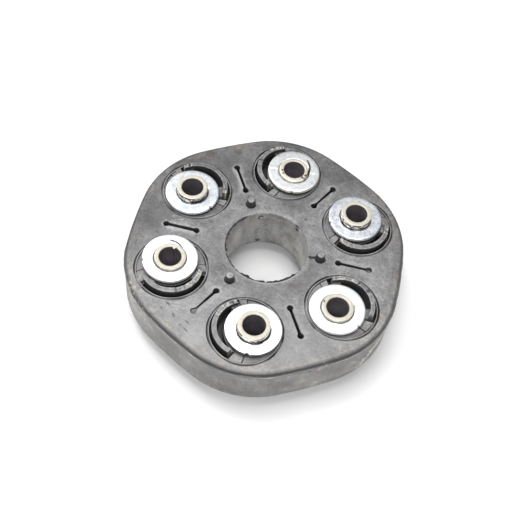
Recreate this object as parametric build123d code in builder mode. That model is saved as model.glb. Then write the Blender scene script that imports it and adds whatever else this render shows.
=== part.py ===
from build123d import *
from math import asin, cos, degrees, radians, sin, sqrt
import os

os.makedirs("parts", exist_ok=True)

# Bolt layout, in millimetres and degrees
bolt_circle_radius = 55.0
wide_step = 69.0
first_bush_angle = 150.0
bush_total = 6

# Rubber body
body_thickness = 30.5
flat_reach = 77.5
side_radius = 253.8
lobe_radius = 54.2
upper_shoulder_radius = 2.5
lower_shoulder_radius = 4.0
centre_hole_radius = 23.2
centre_hole_edge = 0.8

# Steel sleeves and washers
bolt_hole_radius = 6.1
sleeve_radius = 8.8
sleeve_edge = 0.4
tall_spigot = 4.2
short_spigot = 1.4
washer_radius = 15.35
washer_thickness = 2.0
washer_edge = 0.25
washer_lift = 1.6
washer_notch_radius = 0.9
washer_notch_turns = (174.0, 191.0, 172.0, 4.0, 355.0, 354.0)

# Round recess about each bush, its centre moved towards the wide neighbour, with a groove and a lip at its edge
recess_radius = 20.3
recess_shift = 4.2
groove_width = 0.45
groove_depth = 0.7
lip_width = 0.75
land_depth = 0.6
hub_radius = 14.6
tab_depth = 0.15
inner_tab_span = (-72.0, -60.0)
outer_tab_span = (60.0, 80.0)
tab_cut_span = 1.3
tab_cut_depth = 1.3

# Crescent pocket, the curved bar that stands in it, and the webs that tie the bar to the hub
pocket_depth = 6.5
pocket_inner_radius = 15.7
pocket_half_span = 56.0
bar_inner_radius = 15.0
bar_inner_shift = 4.4
bar_outer_radius = 17.2
bar_outer_shift = 5.0
bar_half_span = 68.0
bar_rise = 4.1
web_start = 43.0
end_notch_depth = 2.2
end_notch_span = 4.0

# Dog-bone relief slots between the bushes
slot_inner_reach = 41.0
slot_outer_reach = 58.5
slot_width = 1.9
slot_eye_radius = 1.6
slot_depth = 10.0

# Round pips on the upper face
pip_reach = 30.6
pip_base_radius = 2.7
pip_tip_radius = 2.3
pip_height = 4.6
pip_edge = 0.6

# Cord loops: the outer ones have rubber between them and the sleeves, the middle ones are wound on the sleeves
outer_cord_inner_radius = 11.0
outer_cord_width = 3.2
outer_cord_cover = 2.5
outer_cord_height = 9.0
middle_cord_width = 5.2
middle_cord_height = 5.0

# Sizes that follow from the ones above
narrow_step = 120.0 - wide_step
half_thickness = body_thickness / 2
washer_seat = half_thickness + washer_lift
washer_top = washer_seat + washer_thickness
tall_end = washer_top + tall_spigot
short_end = washer_top + short_spigot
side_shift = side_radius - flat_reach
lobe_centre = sqrt((side_radius - lobe_radius)**2 - (side_shift / 2)**2) - side_shift * cos(radians(30))
lobe_reach = lobe_centre + lobe_radius
side_turn = asin(lobe_centre * sin(radians(30)) / (side_radius - lobe_radius))
land_radius = recess_radius - groove_width - lip_width
recess_far_reach = 2 * recess_radius
notch_half_span = pocket_half_span + end_notch_span
bar_middle_radius = (bar_inner_radius + bar_outer_radius) / 2
bar_middle_shift = (bar_inner_shift + bar_outer_shift) / 2
web_middle = radians((web_start + pocket_half_span) / 2)
web_reach = bar_middle_shift * cos(web_middle) + sqrt(bar_middle_radius**2 - (bar_middle_shift * sin(web_middle))**2)
pip_taper = degrees(asin((pip_base_radius - pip_tip_radius) / pip_height))
outer_cord_outer_radius = outer_cord_inner_radius + outer_cord_width
middle_cord_outer_radius = sleeve_radius + middle_cord_width

bush_numbers = range(1, bush_total + 1)
pip_angles = [first_bush_angle - wide_step / 2 - 120.0 * turn for turn in range(3)]
narrow_angles = [first_bush_angle + narrow_step / 2 - 120.0 * turn for turn in range(3)]


def polar(reach, angle):
    return (reach * cos(radians(angle)), reach * sin(radians(angle)))


def bush_angle(number):
    """Odd bushes lie a third of a turn apart, and each even one follows its odd neighbour clockwise."""
    odd_angle = first_bush_angle - 120.0 * ((number - 1) // 2)
    return odd_angle if number % 2 else odd_angle - wide_step


def bush_frame(number):
    """Bush axis in the plane of the disc, with x along the bolt circle towards the wide neighbour."""
    angle = bush_angle(number)
    return Location(polar(bolt_circle_radius, angle), angle - 90.0 if number % 2 else angle + 90.0)


def bush_point(number, height):
    return (*polar(bolt_circle_radius, bush_angle(number)), height)


def mirrored(number, limits):
    """Swap a span on the even bushes, so that positive angles always lean away from the disc centre."""
    return limits if number % 2 else (-limits[1], -limits[0])


def side_tangent(flat_angle, hand):
    """Point where a side arc of the outline runs into the lobe arc beside it."""
    along = side_radius * cos(side_turn) - side_shift
    across = side_radius * sin(side_turn) * hand
    turn = radians(flat_angle)
    return (along * cos(turn) - across * sin(turn), along * sin(turn) + across * cos(turn))


def shifted(reach, angle, shift):
    x, y = polar(reach, angle)
    return (x + shift, y)


def ring_sector(inner_radius, outer_radius, start, end, inner_shift=0.0, outer_shift=0.0):
    """Ring sector about the origin, from one angle to the other, each of its arcs shifted along x."""
    angles = (start, (start + end) / 2, end)
    outer = [shifted(outer_radius, angle, outer_shift) for angle in angles]
    inner = [shifted(inner_radius, angle, inner_shift) for angle in angles]
    with BuildSketch() as ring:
        with BuildLine():
            ThreePointArc(*outer)
            Line(outer[2], inner[2])
            ThreePointArc(*reversed(inner))
            Line(inner[0], outer[0])
        make_face()
    return ring.sketch


def recess_sector(inner_radius, start, end):
    """Part of the recess between a circle about the bush and the lip at the recess edge."""
    with BuildSketch() as region:
        add(ring_sector(inner_radius, recess_far_reach, start, end))
        with Locations((recess_shift, 0)):
            Circle(land_radius, mode=Mode.INTERSECT)
    return region.sketch


def cord_loop(reach, angle, spacing, inner_radius, outer_radius, bottom, height):
    """Endless loop about two bushes, with round end turns."""
    with BuildPart() as loop:
        with BuildSketch(Plane.XY.offset(bottom)):
            with Locations(Location(polar(reach, angle), angle + 90)):
                SlotCenterToCenter(spacing, 2 * outer_radius)
                SlotCenterToCenter(spacing, 2 * inner_radius, mode=Mode.SUBTRACT)
        extrude(amount=height)
    return loop.part


# Cord loops near both faces, over the narrow pairs
narrow_reach = bolt_circle_radius * cos(radians(narrow_step / 2))
narrow_spacing = 2 * bolt_circle_radius * sin(radians(narrow_step / 2))
upper_cord_bottom = half_thickness - outer_cord_cover - outer_cord_height
lower_cord_bottom = outer_cord_cover - half_thickness
cords = []
for turn, angle in enumerate(narrow_angles):
    for name, bottom in (("upper_cord", upper_cord_bottom), ("lower_cord", lower_cord_bottom)):
        cord = cord_loop(narrow_reach, angle, narrow_spacing, outer_cord_inner_radius,
                         outer_cord_outer_radius, bottom, outer_cord_height)
        cord.label = f"{name}_{turn + 1}"
        cords.append(cord)

# Cord loops at mid height, over the wide pairs, wound on the sleeves
wide_reach = bolt_circle_radius * cos(radians(wide_step / 2))
wide_spacing = 2 * bolt_circle_radius * sin(radians(wide_step / 2))
for turn, angle in enumerate(pip_angles):
    cord = cord_loop(wide_reach, angle, wide_spacing, sleeve_radius,
                     middle_cord_outer_radius, -middle_cord_height / 2, middle_cord_height)
    cord.label = f"middle_cord_{turn + 1}"
    cords.append(cord)

for cord in cords:
    export_step(cord, f"parts/{cord.label}.step")

# Rubber body: six-lobed block with rounded shoulders
with BuildPart() as rubber_body:
    with BuildSketch(Plane.XY.offset(-half_thickness)):
        with BuildLine():
            for step in range(6):
                flat_angle = pip_angles[0] + 60.0 * step
                side_end = side_tangent(flat_angle, 1)
                next_side = side_tangent(flat_angle + 60.0, -1)
                ThreePointArc(side_tangent(flat_angle, -1), polar(flat_reach, flat_angle), side_end)
                ThreePointArc(side_end, polar(lobe_reach, flat_angle + 30.0), next_side)
        make_face()
    extrude(amount=body_thickness)
    fillet(rubber_body.edges().group_by(Axis.Z)[-1], radius=upper_shoulder_radius)
    fillet(rubber_body.edges().group_by(Axis.Z)[0], radius=lower_shoulder_radius)

    # Centre hole with a broken edge on both faces
    with BuildSketch(Plane.XY.offset(-half_thickness)):
        Circle(centre_hole_radius)
    extrude(amount=body_thickness, mode=Mode.SUBTRACT)
    hole_rims = rubber_body.edges().filter_by(lambda edge: edge.bounding_box().size.X < 2.1 * centre_hole_radius)
    chamfer(hole_rims.filter_by(GeomType.CIRCLE), length=centre_hole_edge)

    # Pips between the centre hole and the slots of the wide pairs
    with BuildSketch(Plane.XY.offset(half_thickness)):
        with Locations(*[polar(pip_reach, angle) for angle in pip_angles]):
            Circle(pip_base_radius)
    extrude(amount=pip_height, taper=pip_taper)
    fillet(rubber_body.edges().group_by(Axis.Z)[-1], radius=pip_edge)

    # Both faces carry the same recesses and slots
    for side in (1, -1):
        face_height = side * half_thickness

        # Sunk land round each washer, with two tabs left nearly flush and a cut beside each tab
        with BuildSketch(Plane.XY.offset(face_height)):
            for number in bush_numbers:
                with Locations(bush_frame(number) * Location((recess_shift, 0))):
                    Circle(land_radius)
            for number in bush_numbers:
                with Locations(bush_frame(number)):
                    for limits in (inner_tab_span, outer_tab_span):
                        add(recess_sector(hub_radius, *mirrored(number, limits)), mode=Mode.SUBTRACT)
        extrude(amount=-side * land_depth, mode=Mode.SUBTRACT)
        with BuildSketch(Plane.XY.offset(face_height)):
            for number in bush_numbers:
                with Locations(bush_frame(number)):
                    for limits in (inner_tab_span, outer_tab_span):
                        add(recess_sector(hub_radius, *mirrored(number, limits)))
        extrude(amount=-side * tab_depth, mode=Mode.SUBTRACT)
        with BuildSketch(Plane.XY.offset(face_height)):
            for number in bush_numbers:
                with Locations(bush_frame(number)):
                    for start, end in ((inner_tab_span[0] - tab_cut_span, inner_tab_span[0]),
                                       (outer_tab_span[1], outer_tab_span[1] + tab_cut_span)):
                        add(recess_sector(hub_radius, *mirrored(number, (start, end))))
        extrude(amount=-side * tab_cut_depth, mode=Mode.SUBTRACT)

        # Crescent pocket, with a shallow notch beyond each end of the bar
        with BuildSketch(Plane.XY.offset(face_height)):
            for number in bush_numbers:
                with Locations(bush_frame(number)):
                    add(recess_sector(pocket_inner_radius, -pocket_half_span, pocket_half_span))
        extrude(amount=-side * pocket_depth, mode=Mode.SUBTRACT)
        with BuildSketch(Plane.XY.offset(face_height)):
            for number in bush_numbers:
                with Locations(bush_frame(number)):
                    add(recess_sector(pocket_inner_radius, pocket_half_span, notch_half_span))
                    add(recess_sector(pocket_inner_radius, -notch_half_span, -pocket_half_span))
        extrude(amount=-side * end_notch_depth, mode=Mode.SUBTRACT)

        # Webs near both ends of the pocket, the bar, and the hub that carries each washer
        with BuildSketch(Plane.XY.offset(face_height - side * pocket_depth)):
            for number in bush_numbers:
                with Locations(bush_frame(number)):
                    add(ring_sector(pocket_inner_radius, web_reach, web_start, pocket_half_span))
                    add(ring_sector(pocket_inner_radius, web_reach, -pocket_half_span, -web_start))
        extrude(amount=side * (pocket_depth - land_depth))
        with BuildSketch(Plane.XY.offset(face_height - side * pocket_depth)):
            for number in bush_numbers:
                with Locations(bush_frame(number)):
                    add(ring_sector(bar_inner_radius, bar_outer_radius, -bar_half_span, bar_half_span,
                                    bar_inner_shift, bar_outer_shift))
        extrude(amount=side * (pocket_depth + bar_rise))
        with BuildSketch(Plane.XY.offset(face_height - side * land_depth)):
            for number in bush_numbers:
                with Locations(bush_frame(number)):
                    Circle(hub_radius)
        extrude(amount=side * (land_depth + washer_lift))

        # Groove round each recess, which leaves a lip inside it
        with BuildSketch(Plane.XY.offset(face_height)):
            for number in bush_numbers:
                with Locations(bush_frame(number) * Location((recess_shift, 0))):
                    Circle(recess_radius)
                    Circle(recess_radius - groove_width, mode=Mode.SUBTRACT)
        extrude(amount=-side * groove_depth, mode=Mode.SUBTRACT)

        # Relief slots with round eyes
        with BuildSketch(Plane.XY.offset(face_height)):
            for angle in pip_angles + narrow_angles:
                slot_middle = (slot_inner_reach + slot_outer_reach) / 2
                with Locations(Location(polar(slot_middle, angle), angle)):
                    Rectangle(slot_outer_reach - slot_inner_reach, slot_width)
                with Locations(polar(slot_inner_reach, angle), polar(slot_outer_reach, angle)):
                    Circle(slot_eye_radius)
        extrude(amount=-side * slot_depth, mode=Mode.SUBTRACT)

    # Seats for the sleeves and the cord loops
    with BuildSketch(Plane.XY.offset(-washer_seat)):
        for number in bush_numbers:
            with Locations(bush_frame(number)):
                Circle(sleeve_radius)
    extrude(amount=2 * washer_seat, mode=Mode.SUBTRACT)
    for cord in cords:
        add(cord, mode=Mode.SUBTRACT)

rubber_body.part.label = "rubber_body"
export_step(rubber_body.part, "parts/rubber_body.step")

# Steel sleeves, tall end up on the odd bushes and down on the even ones
for number in bush_numbers:
    upper_end = tall_end if number % 2 else short_end
    lower_end = short_end if number % 2 else tall_end
    with BuildPart() as sleeve:
        with BuildSketch(Plane(bush_point(number, -lower_end))):
            Circle(sleeve_radius)
            Circle(bolt_hole_radius, mode=Mode.SUBTRACT)
        extrude(amount=lower_end + upper_end)
        chamfer(sleeve.edges().filter_by(GeomType.CIRCLE), length=sleeve_edge)
    sleeve.part.label = f"sleeve_{number}"
    export_step(sleeve.part, f"parts/{sleeve.part.label}.step")

# Washers pressed on both ends of each sleeve, each with one rim notch
for number in bush_numbers:
    notch_point = polar(washer_radius, bush_angle(number) + washer_notch_turns[number - 1])
    for name, bottom in (("upper_washer", washer_seat), ("lower_washer", -washer_top)):
        with BuildPart() as washer:
            with BuildSketch(Plane(bush_point(number, bottom))):
                Circle(washer_radius)
                Circle(sleeve_radius, mode=Mode.SUBTRACT)
            extrude(amount=washer_thickness)
            rims = washer.edges().filter_by(lambda edge: edge.bounding_box().size.X > 2.1 * sleeve_radius)
            chamfer(rims.filter_by(GeomType.CIRCLE), length=washer_edge)
            with BuildSketch(Plane(bush_point(number, bottom))):
                with Locations(notch_point):
                    Circle(washer_notch_radius)
            extrude(amount=washer_thickness, mode=Mode.SUBTRACT)
        washer.part.label = f"{name}_{number}"
        export_step(washer.part, f"parts/{washer.part.label}.step")
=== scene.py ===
"""Driveshaft flex disc: moulded rubber skin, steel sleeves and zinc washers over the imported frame."""
import math

import bmesh
import bpy
import numpy as np
from mathutils import Matrix, Vector
from mathutils.geometry import delaunay_2d_cdt


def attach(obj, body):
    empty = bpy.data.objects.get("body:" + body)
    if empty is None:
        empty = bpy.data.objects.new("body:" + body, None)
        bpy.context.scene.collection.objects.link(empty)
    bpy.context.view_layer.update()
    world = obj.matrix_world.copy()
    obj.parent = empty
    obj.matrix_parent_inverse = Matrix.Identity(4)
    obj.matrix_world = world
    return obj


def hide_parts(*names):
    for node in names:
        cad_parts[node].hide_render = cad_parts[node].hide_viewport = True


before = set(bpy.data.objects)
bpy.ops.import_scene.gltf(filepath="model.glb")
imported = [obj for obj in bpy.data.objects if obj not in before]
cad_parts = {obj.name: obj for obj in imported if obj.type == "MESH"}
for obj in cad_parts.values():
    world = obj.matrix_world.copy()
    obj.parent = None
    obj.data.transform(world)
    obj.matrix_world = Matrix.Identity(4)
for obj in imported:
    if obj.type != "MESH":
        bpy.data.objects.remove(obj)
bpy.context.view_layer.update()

# Sizes in millimetres and degrees, the same as in the part
MM = 0.001
BOLT_CIRCLE_RADIUS = 55.0
WIDE_STEP = 69.0
FIRST_BUSH_ANGLE = 150.0
BUSHES = range(1, 7)
HALF_THICKNESS = 15.25
FLAT_REACH = 77.5
SIDE_RADIUS = 253.8
LOBE_RADIUS = 54.2
UPPER_SHOULDER = 2.5
LOWER_SHOULDER = 4.0
HOLE_RADIUS = 23.2
HOLE_EDGE = 0.8
BOLT_HOLE_RADIUS = 6.1
SLEEVE_RADIUS = 8.8
TALL_SPIGOT = 4.2
SHORT_SPIGOT = 1.4
WASHER_RADIUS = 15.35
WASHER_THICKNESS = 2.0
WASHER_LIFT = 1.6
WASHER_NOTCH_RADIUS = 0.9
WASHER_NOTCH_TURNS = (174.0, 191.0, 172.0, 4.0, 355.0, 354.0)
RECESS_RADIUS = 20.3
RECESS_SHIFT = 4.2
TAB_DEPTH = 0.15
POCKET_DEPTH = 6.5
POCKET_INNER_RADIUS = 15.7
POCKET_SPAN = (-56.0, 56.6)
BAR_INNER_SHIFT = 4.4
BAR_INNER_RADIUS = 15.0
BAR_OUTER_SHIFT = 5.0
BAR_OUTER_RADIUS = 17.2
BAR_RISE = 4.1
BAR_SPAN = (-53.5, 55.3)
NOTCH_DEPTH = 2.2
NOTCH_SPAN = (-60.0, 60.0)
SLOT_INNER_REACH = 41.0
SLOT_OUTER_REACH = 58.5
SLOT_HALF_LENGTH = (SLOT_OUTER_REACH - SLOT_INNER_REACH) / 2
SLOT_HALF_WIDTH = 0.95
SLOT_EYE_RADIUS = 1.6
SLOT_DEPTH = 10.0
PIP_REACH = 30.6
PIP_HEIGHT = 4.6
WASHER_SEAT = HALF_THICKNESS + WASHER_LIFT
WASHER_TOP = WASHER_SEAT + WASHER_THICKNESS
TALL_END = WASHER_TOP + TALL_SPIGOT
SHORT_END = WASHER_TOP + SHORT_SPIGOT
PIP_ANGLES = [FIRST_BUSH_ANGLE - WIDE_STEP / 2 - 120.0 * turn for turn in range(3)]
NARROW_ANGLES = [FIRST_BUSH_ANGLE + (120.0 - WIDE_STEP) / 2 - 120.0 * turn for turn in range(3)]

# Arcs of the outline: shift of the side arcs, distance of the lobe arcs' centres, and half a side's turn
SIDE_SHIFT = SIDE_RADIUS - FLAT_REACH
SIDE_TO_LOBE = SIDE_RADIUS - LOBE_RADIUS
LOBE_CENTRE = math.sqrt(SIDE_TO_LOBE**2 - (SIDE_SHIFT / 2) ** 2) - SIDE_SHIFT * math.cos(math.radians(30))
SIDE_TURN = math.degrees(math.asin(LOBE_CENTRE * 0.5 / SIDE_TO_LOBE))

# Skin details that the solids leave out
HUB_RADIUS = 14.3
LAND_START = 14.6
PARTING_RIDGE = 0.3
PARTING_HEIGHT = HALF_THICKNESS - 3.0
LAND_DEPTH = 0.4
TAB_SPANS = ((-72.1, -60), (60, 79.9))
LIP_SPANS = ((60.3, 61.4), (78, 79.1), (-61.4, -60.3), (-71.3, -70.2))
CUT_SPANS = ((-73.4, -71.5), (79.2, 81.2))
LAND_EDGES = (-73.4, -71.5, -70.2, -61.3, -60, 60, 61.3, 78, 79.2, 81.2)
VOID_SPANS = {1: (-30, 38), 2: (-35, 36), 3: (-38, 40), 4: (-37, 37), 5: (-41, 46), 6: (-36, 40)}
PLAIN_VOID_SPAN = (-43, 43)
FLECK_SPANS = {1: ((40, 60), (-60, -46)), 2: ((30, 60), (-60, -45)), 3: ((-60, -32), (34, 50)),
               4: ((-60, -12), (14, 34)), 5: ((-60, -49), (-42, -12)), 6: ((-60, -16),)}
# Cross cuts of the bars: turn, half width in degrees, depth
BAR_CUTS = {1: ((46, 1.2, 0.9), (-44, 1, 0.7)), 2: ((3, 0.9, 1), (-9, 0.8, 0.5), (38, 1, 0.8)),
            3: ((-31, 1, 0.5), (40, 1.2, 0.6)),
            4: ((-9, 0.9, 0.9), (9, 1, 1), (-46, 1.1, 0.7), (22, 0.7, 0.5)),
            5: ((-46, 1.1, 0.8), (-11, 0.7, 0.4)), 6: ((0.5, 0.9, 0.9), (-13, 0.9, 0.7), (-6, 0.6, 0.4))}
# Columns round a recess: steps over the bar and over the land, and offsets on both sides of each edge
FINE_COLUMNS = (1.7, 3.4, (-0.42, -0.13, 0.13, 0.42))
PLAIN_COLUMNS = (5.0, 8.0, (-0.3, 0.3))
# Lumps on the flash round the hole's rim: turn, width in degrees, reach
HOLE_BLOBS = ((-110, 4.5, 0.7), (-119, 2.5, 0.3), (-84.5, 1.2, -0.5), (-70, 9, 0.35), (-92, 5, 0.3),
              (-50, 3.5, 0.75), (-44, 2, 0.3), (168, 2.5, 0.5), (151, 3, 0.3), (137, 3, 0.35), (-172, 3, 0.5),
              (-165, 2, 0.6), (49, 2.2, 0.8), (-30, 2, 0.3))
# Upper slots: angle, shares of the depth that flash fills at both eyes, narrowing of the inner and outer half
SLOTS = ((PIP_ANGLES[0], (0, 0), (0.3, 0.3)), (PIP_ANGLES[1], (0, 0.74), (0.2, 0.3)),
         (PIP_ANGLES[2], (0, 0.9), (0.3, 0.5)), (NARROW_ANGLES[0], (0, 0.25), (0, 0.1)),
         (NARROW_ANGLES[1], (0, 0), (0.45, 0.3)), (NARROW_ANGLES[2], (0, 0), (0.25, 0.2)))
# World angle of the burred lump in the sixth sleeve's bore, and the worn edge of each sleeve's end
LUMP_TURN = 80.0
SLEEVE_EDGES = {1: 0.5, 2: 0.8, 3: 0.5, 4: 0.3, 5: 0.3, 6: 0.35}

# Soft darker and lighter areas of the upper face: x, y, radius and change of bloom
FACE_PATCHES = (
    (-70, 4, 13, -0.66), (-76, -12, 9, -0.35), (-66, 28, 17, -0.38), (-57, 14, 9, -0.3), (-55, 48, 12, -0.4),
    (-32, 58, 18, -0.42), (-30, 42, 9, -0.42), (5, 76, 18, -0.5), (34, 64, 17, -0.45), (-14, 48, 10, -0.5),
    (9, 33, 8, -0.6), (24, 38, 7, -0.35), (-42, 8, 9, -0.3), (2, -32, 9, -0.44), (22, -22, 11, -0.52),
    (-22, -22, 9, -0.5), (-28, -8, 9, -0.3), (26, -9, 8, -0.4), (31, -44, 9, -0.2), (-52, -46, 10, 0.1),
    (-32, -63, 9, 0.3), (60, -46, 11, 0.36), (40, -58, 8, -0.2), (14, -70, 9, -0.15), (50, 8, 9, -0.12),
    (70, 10, 10, -0.2),
)
# Small nicks and beads of the upper face: a line of points, its width and its height
FACE_MARKS = (
    ([(-48.2, -45.6), (-46.4, -46.6)], 0.7, -0.3), ([(-43.6, -51.6), (-42.4, -53.2)], 0.6, -0.28),
    ([(-36.0, -54.9), (-34.4, -55.6)], 0.6, -0.28), ([(-35.8, -59.6), (-34.4, -60.6)], 0.7, -0.3),
    ([(-39.0, -57.6), (-38.0, -57.9)], 0.5, -0.22), ([(-50.6, -49.0), (-49.6, -49.8)], 0.5, -0.22),
    ([(18.7, -30.6), (20.2, -30.9), (21.2, -32.2), (21.4, -34.8)], 0.6, 0.22),
    ([(46.4, -56.0), (47.4, -60.4)], 0.45, 0.15), ([(24.9, -2.2), (27.4, -1.9)], 1.3, -0.7),
    ([(-10.3, 28.6), (-8.2, 29.3), (-6.2, 29.4)], 0.55, 0.2), ([(9.5, -29.0), (13.0, -31.5)], 0.5, 0.12),
    ([(-21.0, -17.5), (-22.6, -16.2)], 0.5, -0.15), ([(27.5, 30.5), (29.5, 33.5)], 0.5, 0.12),
)
# Marks on the rubber's face: x, y, radius, strength
STAINS = (
    (-42.6, 60.3, 3.6, 0.75), (-26.2, 64.6, 3, 0.65), (-37.6, 57.8, 1.7, 0.6), (-16.3, 72.3, 2.4, 0.3),
    (-34.1, 10.9, 1.8, 0.55), (19.6, 23.2, 0.95, 0.9), (24.6, 19.8, 0.9, 0.85), (-64.5, 18.4, 1.6, 0.5),
    (-69.1, 4.6, 1.6, 0.4), (16.7, -22.8, 3.4, 0.45), (-52, 62.5, 1.6, 0.4), (-8, -33, 1.6, 0.25),
    (-30, 34, 1.5, 0.3),
)
SCUFFS = (
    (-53.5, 8, 4.5, 0.9), (-46.4, 8.2, 4, 0.7), (-40, 6.4, 3, 0.5), (-36, -50, 9, 0.45), (-45, -44, 7, 0.4),
    (20, -34, 4, 0.3), (46.9, -57.6, 2.2, 0.9), (52.1, -53.1, 1.4, 0.8), (42.5, -54, 2, 0.4),
    (31, -2, 5, 0.4), (22, 10, 4, 0.3), (19.8, 21.6, 0.6, 1),
)
# Marks on the walls of the disc and the hole, and on the face beside it: x, y, z, radius, strength
WALL_DUST = (
    (-67.5, -42, 6, 9, 0.45), (-60, -51, 4, 8, 0.4), (69.7, -40.4, 3.8, 3, 1.6), (68.2, -42.8, 2, 3.2, 1.6),
    (66.7, -45.2, 0, 3.4, 1.6), (65, -47.4, -3.4, 3.6, 1.6), (63.2, -49.7, -5.6, 3.2, 1.6),
    (61.2, -52, -7.6, 3, 1.3), (71.2, -37.3, 6.5, 2.4, 1.6), (56, -57, -3, 6, 0.4), (38, -68.5, -9, 3, 0.8),
    (40, -67, 10.5, 2.5, 0.7), (-20.3, 11.2, -0.1, 6, 0.5), (17.1, 15.7, 2, 5, 0.5), (21.1, 9.6, -4, 5, 0.5),
)
# The first two smears are painted shade round the upper nub and in the low pit, and the last four are painted
# shade in the nick running from the hole's rim
WALL_SMEARS_AND_SHADE = (
    (-6.3, 22.3, 11.2, 1.9, 1), (-6.7, 22.2, -11.9, 1.6, 1), (66, -45, -6, 6, 0.2),
    (12.4, 19.6, 0.3, 4.5, 0.38), (17.1, 15.7, -7.1, 2.2, 0.36), (9, 21.4, 9, 3, 0.2),
    (-42.6, -64.7, -2.1, 9, 0.24), (-7.5, -80.2, -4, 10, 0.24), (20, -76, 2, 8, 0.2),
    (32.7, -70.2, 10, 1, 0.9), (-24, -75, -9, 9, 0.2), (15.4, 17.4, 11.8, 1.4, 1), (24.3, -2.1, 15.2, 0.9, 1),
    (25.3, -2.1, 15.2, 0.9, 1), (26.3, -2.1, 15.2, 0.9, 1), (27.3, -2.2, 15.2, 0.9, 1),
)
# Painted highlight on the upper nub in the hole's wall: x, y, z
NUB_HIGHLIGHT = (-5.8, 22.4, 11.0)
# Dark marks on the metal: x, y, z, radius
WASHER_MARKS = ((14.6, 49.4, 18.8, 1.3),)
SLEEVE_MARKS = ((6.7, -49, 23, 0.8), (35, -32.2, 20.2, 0.8), (15.6, 51.4, 20.2, 0.8), (13.9, 49.4, 20.2, 0.9),
                (12.2, 50.2, 20.2, 0.6), (2.6, 50.4, 20.2, 0.9), (1.6, 52.6, 20.2, 0.7), (17.2, 56, 20, 0.9))
# Dark crescents on the washers beside the sleeves, painted shade in the gap there and on the second washer
# partly a dark remnant: outer circle and inner circle as x, y and radius, then middle and half length
WASHER_CRESCENTS = (((7, 57.2, 11.3), (6.4, 57.6, 10.7), (18, 57.4), 8.2),
                    ((-53.4, -17.5, 9.5), (-53.6, -17.7, 8.8), (-48.9, -10), 5.6))

# Colours
WHITE = (1, 1, 1)
RUBBER_BLACK = (0.0195, 0.018, 0.021)
COOL_DUST, WARM_DUST = (0.292, 0.293, 0.298), (0.322, 0.32, 0.316)
HOLE_DUST, WALL_BROWN = (0.5, 0.488, 0.458), (0.33, 0.312, 0.29)
SCRATCH_GREY, SCUFF_GREY, SPECK_GREY = (0.42, 0.42, 0.41), (0.5, 0.5, 0.485), (0.5, 0.49, 0.46)
STAIN_BROWN, SMEAR_AND_SHADE_BLACK, PIT_BLACK = (0.085, 0.074, 0.064), (0.028, 0.026, 0.03), (0.06, 0.06, 0.06)
STREAK_CREAM, FLECK_CREAM, HIGHLIGHT_CREAM = (0.64, 0.6, 0.52), (0.74, 0.69, 0.58), (0.86, 0.84, 0.8)
GRIME_GREY, MARK_BLACK = (0.36, 0.35, 0.33), (0.03, 0.028, 0.028)

# Camera fitted to the photograph: focal length in pixels of its 530-pixel frame, then millimetres and degrees
FOCAL_PIXELS = 843.615
FRAME_PIXELS = 530.0
SENSOR_WIDTH = 36.0
CAMERA_DISTANCE = 474.79
CAMERA_ELEVATION = 57.045
CAMERA_ROLL = 9.232
CAMERA_RIGHT = 1.141
CAMERA_UP = 10.315

# Soft square lights aimed at the disc: place and width in metres, power in watts
LIGHTS = {"overhead": ((-0.07, 0.15, 1.28), 0.7, 12.6), "back_left": ((-0.75, 0.6, 1.0), 0.6, 7.4),
          "front": ((0.0, -0.9, 0.95), 0.6, 6.8), "front_left": ((-0.85, -0.5, 0.85), 0.6, 2.8),
          "front_right": ((0.85, -0.5, 0.85), 0.6, 2.1)}
WORLD_STRENGTH = 0.08
FLOOR_HALF_WIDTH = 3.0


def bush_angle(number):
    odd_angle = FIRST_BUSH_ANGLE - 120.0 * ((number - 1) // 2)
    return odd_angle if number % 2 else odd_angle - WIDE_STEP


def direction(angle):
    return np.array([math.cos(math.radians(angle)), math.sin(math.radians(angle))])


def bush_axes(number):
    """Centre of a bush, the way to its wide neighbour, and the way outward."""
    angle = bush_angle(number)
    hand = 1 if number % 2 else -1
    return BOLT_CIRCLE_RADIUS * direction(angle), direction(angle - 90.0 * hand), direction(angle)


def noise(x, y, seed):
    """Smooth repeatable noise between -1 and 1, one unit to a lattice cell."""
    lattice = np.random.default_rng(seed).random((97, 97)) * 2 - 1
    x, y = np.broadcast_arrays(np.asarray(x, float), np.asarray(y, float))
    column, row = np.floor(x).astype(int), np.floor(y).astype(int)
    across, up = x - column, y - row
    across, up = across * across * (3 - 2 * across), up * up * (3 - 2 * up)
    left, right, low, high = column % 97, (column + 1) % 97, row % 97, (row + 1) % 97
    below = lattice[left, low] * (1 - across) + lattice[right, low] * across
    above = lattice[left, high] * (1 - across) + lattice[right, high] * across
    return below * (1 - up) + above * up


def unit(values):
    return np.clip(values, 0, 1)


def blend(mask, there, elsewhere):
    return there * mask + elsewhere * (1 - mask)


def bell(offsets, width, power=2):
    """Smooth hump, 1 at no offset and about a third at the width."""
    return np.exp(-((offsets / width) ** power))


def within(angles, start, end, soft=0.24):
    """1 between two angles, 0 outside them, with a short ramp at each."""
    return unit((angles - start) / soft + 0.5) * unit((end - angles) / soft + 0.5)


def turned(turns, about):
    """Angle from a direction, between -180 and 180 degrees."""
    return (turns - about + 180.0) % 360.0 - 180.0


def polar(reach, turn):
    """Flat points at distances and turns in radians."""
    return np.column_stack([reach * np.cos(turn), reach * np.sin(turn)])


def lifted(place, height):
    """Flat points with their heights, or one height for all."""
    return np.column_stack([place, np.broadcast_to(height, len(place))])


def circle_reach(angles, shift, radius):
    """Distance from the bush to a circle whose centre is shifted along x."""
    turn = np.radians(angles)
    return shift * np.cos(turn) + np.sqrt(radius**2 - (shift * np.sin(turn)) ** 2)


def quads(low, high):
    """Faces between two closed loops of as many points."""
    return np.stack([low, np.roll(low, -1), np.roll(high, -1), high], axis=1)


def new_object(name, data):
    item = bpy.data.objects.new(name, data)
    bpy.context.scene.collection.objects.link(item)
    return item


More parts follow.
